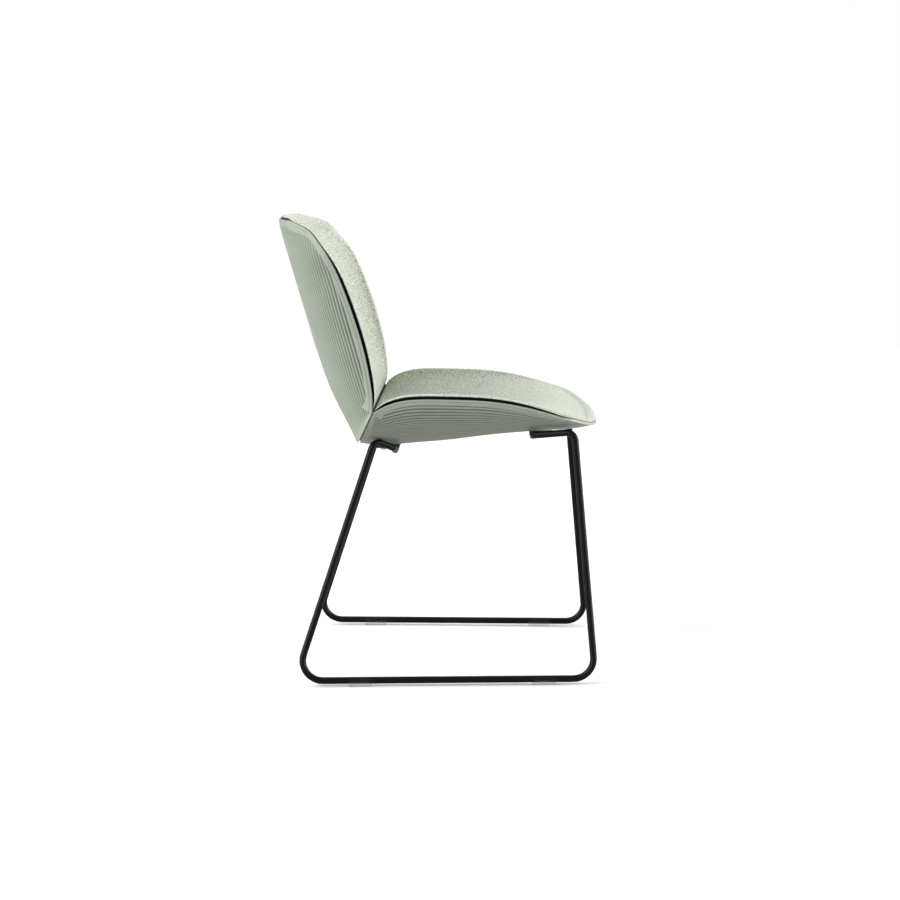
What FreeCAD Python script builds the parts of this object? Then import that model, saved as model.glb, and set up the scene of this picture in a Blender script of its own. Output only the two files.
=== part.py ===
"""Sled base visitor chair: a two-part ribbed bucket shell with upholstered pads on a bent rod frame.

Millimetres. The chair faces +X, the sitter's right hand is at -Y and +Z is up. The origin lies on the
floor under the middle of the chair. Right and left are the sitter's.
"""
import FreeCAD, Part
import math
import os
from collections import namedtuple
from FreeCAD import Vector

# Sled frame: on each side one round steel rod makes the runner, both legs and half of both cross bars
ROD_DIAMETER = 12.0
RUNNER_BEND_RADIUS = 35.0
TOP_BEND_RADIUS = 15.0
GLIDE_HEIGHT = 4.0
RUNNER_REAR = Vector(-243.5, 254.4, 0)
RUNNER_FRONT = Vector(278.3, 235.7, 0)
REAR_LEG_TOP = Vector(-106.5, 170.8, 420.0)
REAR_BAR_ELBOW = Vector(-74.5, 146.0, 403.5)
FRONT_LEG_TOP = Vector(242.0, 206.4, 438.5)
FRONT_BAR_ELBOW = Vector(172.0, 182.0, 430.0)
BAR_LEVEL_HALF = 66.0
BAR_SEAT_GAP = 0.3

# Clear glides clipped round the runners
GLIDE_LENGTH = 40.0
GLIDE_SOLE_WIDTH = 14.0
GLIDE_WALL = 2.2
GLIDE_FIT = 0.05
GLIDE_WRAP = 4.0
GLIDE_REAR_X = -130.0
GLIDE_FRONT_X = 189.0

# Steel tabs welded to the cross bars, and the screws that hold the seat shell on them
TAB_LENGTH = 34.0
TAB_WIDTH = 26.0
TAB_THICKNESS = 3.0
TAB_OVERLAP = 3.0
TAB_CENTRE_Y = 48.0
TAB_HOLE_FROM_BAR = 22.0
TAB_HOLE_RADIUS = 3.3
MOUNT_SCREW_RADIUS = 2.95
MOUNT_SCREW_LENGTH = 11.5
MOUNT_HEAD_RADIUS = 5.25
MOUNT_HEAD_HEIGHT = 3.3
WASHER_RADIUS = 6.0
WASHER_HOLE_RADIUS = 3.2
WASHER_THICKNESS = 1.2
INSERT_RADIUS = 4.0
INSERT_BORE_RADIUS = 3.0
INSERT_LENGTH = 5.5
INSERT_DEPTH = 1.0
TOWER_RADIUS = 11.0
TOWER_HEIGHT = 8.2

# Moulded shells and the panels and pads inside them, in millimetres in from the shell's outer face
SHELL_THICKNESS = 4.5
SEAT_SHELL_TIP_SETBACK = 1.0
BACK_SHELL_TIP_SETBACK = 5.0
LAYER_GAP = 0.3
FOAM_CLEARANCE = 1.0
CARRIER_DISTANCE = 8.0
CARRIER_THICKNESS = 3.0
CARRIER_SPAN = 0.85
CARRIER_JOINT_SETBACK = 13.0
CARRIER_TIP_SETBACK = 98.0
FOAM_RAMP_START = 80.0
FOAM_RAMP_END = 56.0
FOAM_RIM_DISTANCE = 6.0
FOAM_TIP_DISTANCE = 5.2
PAD_EDGE_GAP = 5.0
PAD_EDGE_INSET = 1.0
PAD_ROLL_HALF = 8.0
PAD_ROLL_HEIGHT = 4.0
PAD_CROWN_SHARE = 0.18
PAD_END_SWELL = 0.2
COVER_THICKNESS = 1.5

# Screws that hold the panels on moulded bosses
PANEL_BOSS_RADIUS = 5.0
PANEL_SCREW_RADIUS = 1.95
PANEL_SCREW_LENGTH = 8.5
PANEL_HEAD_RADIUS = 4.0
PANEL_HEAD_HEIGHT = 2.2
PANEL_HEAD_SUNK = 0.5
PANEL_SCREW_FIT = 0.1
PANEL_SCREW_Y = 60.0
SEAT_SCREW_STEPS = (135.0, 260.0)
BACK_SCREW_STEPS = (120.0, 270.0)

# Flanges in the joint between the two shells, and the bolts through them
JOINT_GAP = 3.0
FLANGE_THICKNESS = 4.0
FLANGE_HALF_WIDTH = 110.0
FLANGE_ROOT = 2.2
FLANGE_TOP = 20.0
FLANGE_FOAM_SPAN = 0.6
FLANGE_FOAM_LENGTH = 14.0
FLANGE_BOLT_FROM_END = 30.0
FLANGE_BOLT_DISTANCE = 15.0
FLANGE_BOLT_RADIUS = 1.95
FLANGE_HOLE_RADIUS = 2.2
FLANGE_HEAD_RADIUS = 3.5
FLANGE_HEAD_HEIGHT = 2.4
FLANGE_NUT_FLATS = 7.0
FLANGE_NUT_HEIGHT = 3.2

# One section of a shell: keel and rim points, how far the section turns at its rim and the depth from
# the shell to the pad's face at the keel
Station = namedtuple("Station", "keel_x keel_z rim_x rim_y rim_z turn depth")

SEAT_STATIONS = (
    Station(-139.6, 398.4, -104.6, 230.0, 473.4, 86.0, 42.0),
    Station(-108.0, 394.0, -91.0, 230.0, 482.5, 86.0, 44.0),
    Station(-50.0, 396.5, -50.0, 230.0, 495.5, 86.0, 46.0),
    Station(20.0, 402.5, 20.0, 230.0, 497.0, 86.0, 46.0),
    Station(90.0, 411.5, 90.0, 230.0, 494.0, 86.0, 45.0),
    Station(150.0, 418.0, 150.0, 230.0, 484.5, 84.0, 43.0),
    Station(205.0, 423.0, 205.0, 229.5, 468.5, 76.0, 38.0),
    Station(228.0, 425.0, 228.0, 227.5, 461.5, 69.0, 33.0),
    Station(243.0, 426.5, 243.0, 218.0, 457.5, 62.0, 29.0),
    Station(256.0, 428.5, 256.0, 199.0, 452.0, 55.0, 25.0),
    Station(266.0, 430.5, 266.0, 178.0, 447.8, 49.0, 21.0),
    Station(275.0, 433.0, 275.0, 151.0, 444.2, 43.0, 17.5),
    Station(281.0, 435.2, 281.0, 129.0, 441.9, 38.0, 15.2),
    Station(286.0, 437.5, 286.0, 100.0, 439.9, 33.0, 13.5),
)

BACK_STATIONS = (
    Station(-143.7, 396.85, -107.4, 230.0, 474.6, 86.0, 42.0),
    Station(-162.0, 434.0, -106.5, 230.0, 497.0, 86.0, 44.0),
    Station(-186.5, 482.0, -111.0, 230.0, 536.0, 86.0, 44.0),
    Station(-210.0, 544.0, -122.5, 230.0, 590.0, 86.0, 42.0),
    Station(-234.5, 626.0, -144.0, 230.0, 659.0, 84.0, 39.0),
    Station(-257.0, 704.0, -168.5, 229.0, 720.0, 78.0, 34.0),
    Station(-270.0, 749.0, -187.0, 225.0, 752.0, 70.0, 28.0),
    Station(-277.5, 775.0, -204.5, 210.5, 775.0, 60.0, 22.0),
    Station(-281.2, 791.0, -224.0, 188.0, 792.5, 52.0, 16.5),
    Station(-282.3, 801.0, -244.0, 154.0, 801.0, 46.0, 15.0),
    Station(-282.4, 806.0, -253.0, 129.0, 806.0, 42.0, 13.7),
)

SECTION_COLUMNS = 21
PAD_COLUMNS = 15
SECTION_ROWS = 25
ROW_CROWDING = 1.5
ROLL_STEPS = 5
END_ROWS = 2

ROD_RADIUS = ROD_DIAMETER / 2


def smooth_curve(points, ticks):
    """Smooth curve that passes through each point at its tick."""
    curve = Part.BSplineCurve()
    curve.interpolate(Points=points, Parameters=ticks)
    return curve


class Leaf:
    """One half of the bucket: half-ellipse sections carried along a keel, from the joint to the tip."""

    def __init__(self, stations):
        keel_points = [Vector(s.keel_x, 0, s.keel_z) for s in stations]
        ticks = [0.0]
        for near, far in zip(keel_points, keel_points[1:]):
            ticks.append(ticks[-1] + near.distanceToPoint(far))
        self.length = ticks[-1]
        self.keel = smooth_curve(keel_points, ticks)
        self.rim = smooth_curve([Vector(s.rim_x, s.rim_y, s.rim_z) for s in stations], ticks)
        self.turns = smooth_curve([Vector(t, s.turn, 0) for t, s in zip(ticks, stations)], ticks)
        self.depths = smooth_curve([Vector(t, s.depth, 0) for t, s in zip(ticks, stations)], ticks)

    def rise(self, step):
        """Unit direction in a section from its keel towards the level of its rim."""
        across = self.rim.value(step) - self.keel.value(step)
        return Vector(across.x, 0, across.z).normalize()

    def turn(self, step):
        return math.radians(self.turns.value(step).y)

    def depth(self, step):
        return self.depths.value(step).y

    def section(self, step):
        """Keel point, direction of rise, half width and height of the rim, and turn of one section."""
        keel = self.keel.value(step)
        rim = self.rim.value(step)
        across = Vector(rim.x - keel.x, 0, rim.z - keel.z)
        return keel, self.rise(step), rim.y, across.Length, self.turn(step)

    def point(self, step, share, distance=0.0):
        """Point at a distance in from the outer face: share runs from -1 at the right rim to 1 at the left."""
        keel, rise, half, height, turn = self.section(step)
        angle = turn * share
        y = half * math.sin(angle) / math.sin(turn)
        up = height * (1 - math.cos(angle)) / (1 - math.cos(turn))
        y_slope = half * math.cos(angle) / math.sin(turn)
        up_slope = height * math.sin(angle) / (1 - math.cos(turn))
        size = math.hypot(y_slope, up_slope)
        y -= distance * up_slope / size
        up += distance * y_slope / size
        return keel + rise * up + Vector(0, y, 0)

    def bowl_point(self, step, share, lift, rim_lift, inset):
        """Point of a shallower bowl: lifted off the keel and off the rim, and set in from the rim."""
        keel, rise, half, height, turn = self.section(step)
        climb = (1 - math.cos(turn * share)) / (1 - math.cos(turn))
        y = (half - inset) * math.sin(turn * share) / math.sin(turn)
        return keel + rise * (lift + (height + rim_lift - lift) * climb) + Vector(0, y, 0)

    def normal(self, step, share):
        """Unit normal of the outer face, towards the sitter."""
        reach = 1.0
        along = self.point(step + reach, share) - self.point(step - reach, share)
        across = self.point(step, share + reach / 100) - self.point(step, share - reach / 100)
        normal = along.cross(across).normalize()
        return normal if normal.dot(self.rise(step)) > 0 else normal * -1

    def share_at(self, step, y):
        """Share of the section at which the outer face reaches a given y."""
        turn = self.turn(step)
        return math.asin(y / self.rim.value(step).y * math.sin(turn)) / turn

    def step_at(self, x):
        """Step at which the keel passes a given x."""
        low, high = 0.0, self.length
        forward = self.keel.value(high).x > self.keel.value(low).x
        for _ in range(50):
            middle = (low + high) / 2
            if (self.keel.value(middle).x < x) == forward:
                low = middle
            else:
                high = middle
        return low


def even_steps(first, last, count):
    return [first + (last - first) * i / (count - 1) for i in range(count)]


def row_steps(first, last):
    """Steps along a keel that crowd together towards the tip, where the rim turns its corner."""
    left = [(1 - i / (SECTION_ROWS - 1)) ** ROW_CROWDING for i in range(SECTION_ROWS)]
    return [last - (last - first) * share for share in left]


def layer_grid(leaf, first, last, distance, span=1.0):
    """Grid of points on one layer of a leaf between two steps along its keel."""
    shares = even_steps(-span, span, SECTION_COLUMNS)
    return [[leaf.point(step, share, distance) for share in shares] for step in row_steps(first, last)]


def solid_between(lower_grid, upper_grid):
    """Closed solid between two grids, with a straight wall along each of the four sides."""
    skins = []
    for grid in (lower_grid, upper_grid):
        skin = Part.BSplineSurface()
        skin.interpolate(grid)
        skins.append(skin)
    faces = [skin.toShape() for skin in skins]
    sides = []
    for skin in skins:
        u_first, u_last, v_first, v_last = skin.bounds()
        sides.append((skin.uIso(u_first), skin.uIso(u_last), skin.vIso(v_first), skin.vIso(v_last)))
    for low, high in zip(*sides):
        faces.append(Part.makeRuledSurface(low.toShape(), high.toShape()))
    shell = Part.makeShell(faces)
    shell.sewShape()
    solid = Part.makeSolid(shell)
    if solid.Volume < 0:
        solid.reverse()
    return solid


def shell_body(leaf, tip_setback):
    """Bare moulded shell of even thickness, which ends a little before the pad does."""
    last = leaf.length - tip_setback
    outer = layer_grid(leaf, 0, last, 0)
    return solid_between(outer, layer_grid(leaf, 0, last, SHELL_THICKNESS))


def carrier_body(leaf):
    """Moulded panel under the pad, clear of the joint, of the rims and of the soft front or top."""
    first = CARRIER_JOINT_SETBACK
    last = leaf.length - CARRIER_TIP_SETBACK
    lower = layer_grid(leaf, first, last, CARRIER_DISTANCE, CARRIER_SPAN)
    return solid_between(lower, layer_grid(leaf, first, last, CARRIER_DISTANCE + CARRIER_THICKNESS, CARRIER_SPAN))


def pad_steps(leaf):
    """Steps of a pad's sections, each with how far its rolled ends have swelled there."""
    first = 0.0
    last = leaf.length
    curl = [math.pi / 2 * i / END_ROWS for i in range(END_ROWS + 1)]
    swells = [PAD_END_SWELL + (1 - PAD_END_SWELL) * math.sin(a) for a in curl]
    setbacks = [PAD_ROLL_HALF * (1 - math.cos(a)) for a in curl]
    steps = [(first + setback, swell) for setback, swell in zip(setbacks, swells)]
    steps += [(step, 1.0) for step in row_steps(first + PAD_ROLL_HALF, last - PAD_ROLL_HALF)[1:-1]]
    steps += [(last - setback, swell) for setback, swell in zip(reversed(setbacks), reversed(swells))]
    return steps


def pad_face_row(leaf, step, swell, sink):
    """One section of a pad's face, sunk by an even depth: a crowned bowl with rolled side edges."""
    keel, rise, half, height, turn = leaf.section(step)
    slope = math.atan2(height * math.sin(turn) ** 2, half * math.cos(turn) * (1 - math.cos(turn)))
    edge_lift = SHELL_THICKNESS * math.cos(slope) + PAD_EDGE_GAP
    drop = sink * math.cos(slope)
    inset = PAD_EDGE_INSET + 2 * PAD_ROLL_HALF - sink * math.sin(slope)
    roll_half = (inset - PAD_EDGE_INSET - sink) / 2
    roll_centre = half - inset + roll_half
    roll = []
    for i in range(1, 2 * ROLL_STEPS - 1):
        a = math.pi * i / (2 * ROLL_STEPS - 2)
        up = height + edge_lift - drop * (1 + math.cos(a)) / 2
        up += (PAD_ROLL_HEIGHT - sink) * math.sin(a) * swell
        roll.append(keel + rise * up + Vector(0, roll_centre - roll_half * math.cos(a), 0))
    row = [Vector(p.x, -p.y, p.z) for p in reversed(roll)]
    crown = PAD_CROWN_SHARE * leaf.depth(step)
    for share in even_steps(-1, 1, PAD_COLUMNS):
        lift = leaf.depth(step) - crown - sink
        base = leaf.bowl_point(step, share, lift, edge_lift - drop, inset)
        row.append(base + rise * crown * swell * (1 - share ** 4))
    return row + roll


def foam_floor_distance(leaf, step, share):
    """Height of the foam's underside: over the panel, over the joint flange, and down to the shell's edges."""
    over_panel = CARRIER_DISTANCE + CARRIER_THICKNESS + FOAM_CLEARANCE
    to_tip = (step - leaf.length + FOAM_RAMP_START) / (FOAM_RAMP_START - FOAM_RAMP_END)
    to_tip = max(0.0, min(1.0, to_tip))
    middle = over_panel + (FOAM_TIP_DISTANCE - over_panel) * to_tip
    if step < FLANGE_FOAM_LENGTH:
        beside = min(1.0, abs(share) / FLANGE_FOAM_SPAN)
        middle += (FLANGE_TOP + 1 - over_panel) * (1 - beside ** 4)
    rim = min(middle, FOAM_RIM_DISTANCE)
    beyond_panel = max(0.0, (abs(share) - CARRIER_SPAN) / (1 - CARRIER_SPAN))
    return middle + (rim - middle) * beyond_panel


def pad_floor_row(leaf, step, columns):
    shares = even_steps(-1, 1, columns)
    return [leaf.point(step, share, foam_floor_distance(leaf, step, share)) for share in shares]


def pad_cover(leaf):
    faces = [pad_face_row(leaf, step, swell, 0.0) for step, swell in pad_steps(leaf)]
    backs = [pad_face_row(leaf, step, swell, COVER_THICKNESS) for step, swell in pad_steps(leaf)]
    return lofted_pad(backs, faces)


def pad_foam(leaf):
    sink = COVER_THICKNESS + LAYER_GAP
    faces = [pad_face_row(leaf, step, swell, sink) for step, swell in pad_steps(leaf)]
    floors = [pad_floor_row(leaf, step, len(faces[0])) for step, _ in pad_steps(leaf)]
    return lofted_pad(floors, faces)


def arcs_through(points):
    """Arcs that run through an odd number of points, each arc through three of them."""
    return [Part.Arc(*points[i:i + 3]).toShape() for i in range(0, len(points) - 2, 2)]


def lofted_pad(lower_grid, upper_grid):
    """Closed pad through sections of arcs, with a straight line down each side."""
    sections = []
    for lower, upper in zip(lower_grid, upper_grid):
        edges = arcs_through(upper)
        edges.append(Part.LineSegment(upper[-1], lower[-1]).toShape())
        edges += arcs_through(lower[::-1])
        edges.append(Part.LineSegment(lower[0], upper[0]).toShape())
        sections.append(Part.Wire(edges))
    pad = Part.makeLoft(sections, True, False)
    if pad.Volume < 0:
        pad.reverse()
    return pad


def rounded_path(corners, radii):
    """Wire through the corners, with an arc of its own radius at each inner corner."""
    edges = []
    start = corners[0]
    for before, corner, after, radius in zip(corners, corners[1:], corners[2:], radii):
        inward = (corner - before).normalize()
        outward = (after - corner).normalize()
        half_turn = math.acos(max(-1.0, min(1.0, inward.dot(outward)))) / 2
        tangent = radius * math.tan(half_turn)
        arc_start = corner - inward * tangent
        arc_end = corner + outward * tangent
        to_centre = (outward - inward).normalize()
        arc_middle = corner + to_centre * (radius / math.cos(half_turn) - radius)
        edges.append(Part.LineSegment(start, arc_start).toShape())
        edges.append(Part.Arc(arc_start, arc_middle, arc_end).toShape())
        start = arc_end
    edges.append(Part.LineSegment(start, corners[-1]).toShape())
    return Part.Wire(edges)


def swept_rod(corners, radii):
    path = rounded_path(corners, radii)
    direction = (corners[1] - corners[0]).normalize()
    ring = Part.Wire([Part.makeCircle(ROD_RADIUS, corners[0], direction)])
    return path.makePipeShell([ring], True, False)


def sided(point, side):
    return Vector(point.x, point.y * side, point.z)


def cylinder(radius, start, direction, length):
    return Part.makeCylinder(radius, length, start, direction)


def bar_height(seat, elbow):
    """Height of a cross bar's centre line where it passes level under the middle of the seat shell."""
    underside = seat.keel.value(seat.step_at(elbow.x)).z
    return underside - BAR_SEAT_GAP - ROD_RADIUS


def frame_rod(seat, side):
    """One bent rod, from the middle of the rear cross bar round the runner to the middle of the front one."""
    runner_z = GLIDE_HEIGHT + ROD_RADIUS
    rear_z = bar_height(seat, REAR_BAR_ELBOW)
    front_z = bar_height(seat, FRONT_BAR_ELBOW)
    corners = (
        Vector(REAR_BAR_ELBOW.x, 0, rear_z),
        Vector(REAR_BAR_ELBOW.x, BAR_LEVEL_HALF, rear_z),
        REAR_BAR_ELBOW,
        REAR_LEG_TOP,
        RUNNER_REAR + Vector(0, 0, runner_z),
        RUNNER_FRONT + Vector(0, 0, runner_z),
        FRONT_LEG_TOP,
        FRONT_BAR_ELBOW,
        Vector(FRONT_BAR_ELBOW.x, BAR_LEVEL_HALF, front_z),
        Vector(FRONT_BAR_ELBOW.x, 0, front_z),
    )
    top, runner = TOP_BEND_RADIUS, RUNNER_BEND_RADIUS
    return swept_rod([sided(c, side) for c in corners], (top, top, top, runner, runner, top, top, top))


def tab_places(seat):
    """Name, hole position, bar position and side of each of the four mounting tabs, at the bar's top.

    The rear tabs point backwards and the front ones forwards, ahead being -1 or 1."""
    places = []
    for end, elbow, ahead in (("rear", REAR_BAR_ELBOW, -1), ("front", FRONT_BAR_ELBOW, 1)):
        top = bar_height(seat, elbow) + ROD_RADIUS
        for hand, side in (("right", -1), ("left", 1)):
            hole = Vector(elbow.x + ahead * TAB_HOLE_FROM_BAR, side * TAB_CENTRE_Y, top)
            places.append((end + "_" + hand, hole, elbow.x, side))
    return places


def mount_tab(hole, bar_x):
    """Flat steel tab, flush with the top of the bar that it is welded to."""
    ahead = math.copysign(1, hole.x - bar_x)
    middle = bar_x + ahead * (TAB_OVERLAP + TAB_LENGTH / 2)
    corner = Vector(middle - TAB_LENGTH / 2, hole.y - TAB_WIDTH / 2, hole.z - TAB_THICKNESS)
    plate = Part.makeBox(TAB_LENGTH, TAB_WIDTH, TAB_THICKNESS, corner)
    bar_start = Vector(bar_x, hole.y - TAB_WIDTH, hole.z - ROD_RADIUS)
    plate = plate.cut(cylinder(ROD_RADIUS, bar_start, Vector(0, 1, 0), 2 * TAB_WIDTH))
    drill = cylinder(TAB_HOLE_RADIUS, hole - Vector(0, 0, 2 * TAB_THICKNESS), Vector(0, 0, 1), 3 * TAB_THICKNESS)
    return plate.cut(drill)


def mount_washer(hole):
    start = hole - Vector(0, 0, TAB_THICKNESS + WASHER_THICKNESS)
    up = Vector(0, 0, 1)
    ring = cylinder(WASHER_RADIUS, start, up, WASHER_THICKNESS)
    return ring.cut(cylinder(WASHER_HOLE_RADIUS, start, up, WASHER_THICKNESS))


def mount_screw(hole):
    """Button head screw from below, through the tab into the shell's insert."""
    seat_face = hole - Vector(0, 0, TAB_THICKNESS + WASHER_THICKNESS)
    up = Vector(0, 0, 1)
    head = cylinder(MOUNT_HEAD_RADIUS, seat_face - up * MOUNT_HEAD_HEIGHT, up, MOUNT_HEAD_HEIGHT)
    head = head.makeFillet(MOUNT_HEAD_HEIGHT / 2, [head.Edges[-1]])
    socket = hex_prism(MOUNT_SCREW_RADIUS * 1.3, seat_face - up * MOUNT_HEAD_HEIGHT, up, MOUNT_HEAD_HEIGHT / 2)
    shank = cylinder(MOUNT_SCREW_RADIUS, seat_face, up, MOUNT_SCREW_LENGTH)
    return head.fuse(shank).cut(socket).removeSplitter()


def hex_prism(flats, start, direction, height):
    """Six-sided prism on an axis, measured across its flats."""
    ring = Part.makeCircle(flats / math.sqrt(3), Vector(0, 0, 0), Vector(0, 0, 1))
    corners = [ring.Curve.value(math.radians(60 * i)) for i in range(6)]
    base = Part.Face(Part.makePolygon(corners + corners[:1]))
    prism = base.extrude(Vector(0, 0, height))
    turn = FreeCAD.Rotation(Vector(0, 0, 1), direction)
    prism.Placement = FreeCAD.Placement(start, turn)
    return prism


def mount_insert(hole):
    """Brass threaded insert inside the shell's tower."""
    start = hole + Vector(0, 0, INSERT_DEPTH)
    up = Vector(0, 0, 1)
    sleeve = cylinder(INSERT_RADIUS, start, up, INSERT_LENGTH)
    return sleeve.cut(cylinder(INSERT_BORE_RADIUS, start, up, INSERT_LENGTH))


def tower(hole):
    """Moulded tower through the shell that stands flat on a tab."""
    up = Vector(0, 0, 1)
    return cylinder(TOWER_RADIUS, hole, up, TOWER_HEIGHT)


def tower_bore(hole):
    up = Vector(0, 0, 1)
    return cylinder(INSERT_RADIUS, hole, up, INSERT_DEPTH + INSERT_LENGTH + INSERT_DEPTH)


def panel_screw_axes(leaf, steps):
    """Outer shell point and inward direction of each screw that holds a panel."""
    axes = []
    for step in steps:
        for y in (-PANEL_SCREW_Y, PANEL_SCREW_Y):
            share = leaf.share_at(step, y)
            axes.append((leaf.point(step, share), leaf.normal(step, share)))
    return axes


def panel_boss(foot, inward):
    root = SHELL_THICKNESS / 2
    return cylinder(PANEL_BOSS_RADIUS, foot + inward * root, inward, CARRIER_DISTANCE - 2 * LAYER_GAP - root)


def panel_screw(foot, inward, fit=0.0):
    """Countersunk screw through the panel into a boss, or with a fit the hole that clears it."""
    top = foot + inward * (CARRIER_DISTANCE + CARRIER_THICKNESS - PANEL_HEAD_SUNK)
    head = Part.makeCone(PANEL_HEAD_RADIUS + fit, PANEL_SCREW_RADIUS + fit, PANEL_HEAD_HEIGHT, top, inward * -1)
    shank = cylinder(PANEL_SCREW_RADIUS + fit, top, inward * -1, PANEL_SCREW_LENGTH + fit)
    return head.fuse(shank).removeSplitter()


def panel_screw_hole(foot, inward):
    """Clearance for a panel screw, open above its sunk head."""
    top = foot + inward * (CARRIER_DISTANCE + CARRIER_THICKNESS - PANEL_HEAD_SUNK)
    sink = cylinder(PANEL_HEAD_RADIUS + PANEL_SCREW_FIT, top, inward, 2 * PANEL_HEAD_SUNK)
    return panel_screw(foot, inward, PANEL_SCREW_FIT).fuse(sink)


def joint_axes(leaf):
    """Directions of the joint plane at a leaf's first section: up the joint and square to it, forwards."""
    across = leaf.rim.value(0) - leaf.keel.value(0)
    up = Vector(across.x, 0, across.z).normalize()
    return up, Vector(up.z, 0, -up.x)


def flange(leaf, seat, towards):
    """Drilled flange that follows a shell along the joint; towards is 1 on the seat and -1 on the back."""
    _, square = joint_axes(leaf)
    share = leaf.share_at(0, FLANGE_HALF_WIDTH)
    low = [leaf.point(0, q, FLANGE_ROOT) for q in (-share, 0, share)]
    top = [leaf.point(0, q, FLANGE_TOP) for q in (share, 0, -share)]
    edges = [Part.Arc(*low).toShape(), Part.LineSegment(low[-1], top[0]).toShape()]
    edges += [Part.Arc(*top).toShape(), Part.LineSegment(top[-1], low[0]).toShape()]
    plate = Part.Face(Part.Wire(edges)).translated(square * (-towards * JOINT_GAP / 2))
    holes = [flange_hole(seat, centre) for centre in flange_bolt_centres(seat)]
    return plate.extrude(square * FLANGE_THICKNESS * towards).cut(Part.makeCompound(holes))


def flange_bolt_centres(seat):
    """Bolt centres on the plane where the two flanges meet."""
    _, square = joint_axes(seat)
    outer = FLANGE_HALF_WIDTH - FLANGE_BOLT_FROM_END
    places = (-outer, 0, outer)
    centres = [seat.point(0, seat.share_at(0, y), FLANGE_BOLT_DISTANCE) for y in places]
    return [centre - square * (JOINT_GAP / 2) for centre in centres]


def flange_bolt(seat, centre):
    _, square = joint_axes(seat)
    under_head = centre + square * FLANGE_THICKNESS
    length = 2 * FLANGE_THICKNESS + FLANGE_NUT_HEIGHT + 1
    head = cylinder(FLANGE_HEAD_RADIUS, under_head, square, FLANGE_HEAD_HEIGHT)
    shank = cylinder(FLANGE_BOLT_RADIUS, under_head, square * -1, length)
    return head.fuse(shank).removeSplitter()


def flange_nut(seat, centre):
    _, square = joint_axes(seat)
    start = centre - square * FLANGE_THICKNESS
    nut = hex_prism(FLANGE_NUT_FLATS, start, square * -1, FLANGE_NUT_HEIGHT)
    return nut.cut(cylinder(FLANGE_BOLT_RADIUS, start, square * -1, FLANGE_NUT_HEIGHT))


def flange_hole(seat, centre):
    _, square = joint_axes(seat)
    return cylinder(FLANGE_HOLE_RADIUS, centre - square * 2 * FLANGE_THICKNESS, square, 4 * FLANGE_THICKNESS)


def runner_glide(x, side):
    """Clear clip-on glide: a flat sole with a saddle that grips the runner."""
    run = RUNNER_FRONT - RUNNER_REAR
    y = RUNNER_REAR.y + run.y * (x - RUNNER_REAR.x) / run.x
    centre_z = GLIDE_HEIGHT + ROD_RADIUS
    along = Vector(1, 0, 0)
    start = Vector(-GLIDE_LENGTH / 2, 0, centre_z)
    outer_radius = ROD_RADIUS + GLIDE_WALL
    saddle = cylinder(outer_radius, start, along, GLIDE_LENGTH)
    sole_corner = Vector(-GLIDE_LENGTH / 2, -GLIDE_SOLE_WIDTH / 2, 0)
    sole = Part.makeBox(GLIDE_LENGTH, GLIDE_SOLE_WIDTH, centre_z, sole_corner)
    body = saddle.fuse(sole).cut(cylinder(ROD_RADIUS + GLIDE_FIT, start, along, GLIDE_LENGTH))
    lid_corner = Vector(-GLIDE_LENGTH / 2, -outer_radius, centre_z + GLIDE_WRAP)
    body = body.cut(Part.makeBox(GLIDE_LENGTH, 2 * outer_radius, outer_radius, lid_corner)).removeSplitter()
    heading = math.degrees(math.atan2(run.y * side, run.x))
    turn = FreeCAD.Rotation(Vector(0, 0, 1), heading)
    body.Placement = FreeCAD.Placement(Vector(x, y * side, 0), turn)
    return body


def seat_shell(seat, tabs):
    body = shell_body(seat, SEAT_SHELL_TIP_SETBACK).fuse(flange(seat, seat, 1))
    for _, hole, _, _ in tabs:
        body = body.fuse(tower(hole))
    axes = panel_screw_axes(seat, SEAT_SCREW_STEPS)
    for axis in axes:
        body = body.fuse(panel_boss(*axis))
    drills = [tower_bore(hole) for _, hole, _, _ in tabs]
    drills += [panel_screw(*axis) for axis in axes]
    return body.cut(Part.makeCompound(drills))


def back_shell(back, seat):
    body = shell_body(back, BACK_SHELL_TIP_SETBACK).fuse(flange(back, seat, -1))
    axes = panel_screw_axes(back, BACK_SCREW_STEPS)
    for axis in axes:
        body = body.fuse(panel_boss(*axis))
    return body.cut(Part.makeCompound([panel_screw(*axis) for axis in axes]))


def panel_stack(leaf, steps):
    """Panel, foam and felt cover of one leaf, with the panel's screws."""
    axes = panel_screw_axes(leaf, steps)
    holes = Part.makeCompound([panel_screw_hole(*axis) for axis in axes])
    screws = Part.makeCompound([panel_screw(*axis) for axis in axes])
    return carrier_body(leaf).cut(holes), pad_foam(leaf), pad_cover(leaf), screws


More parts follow.
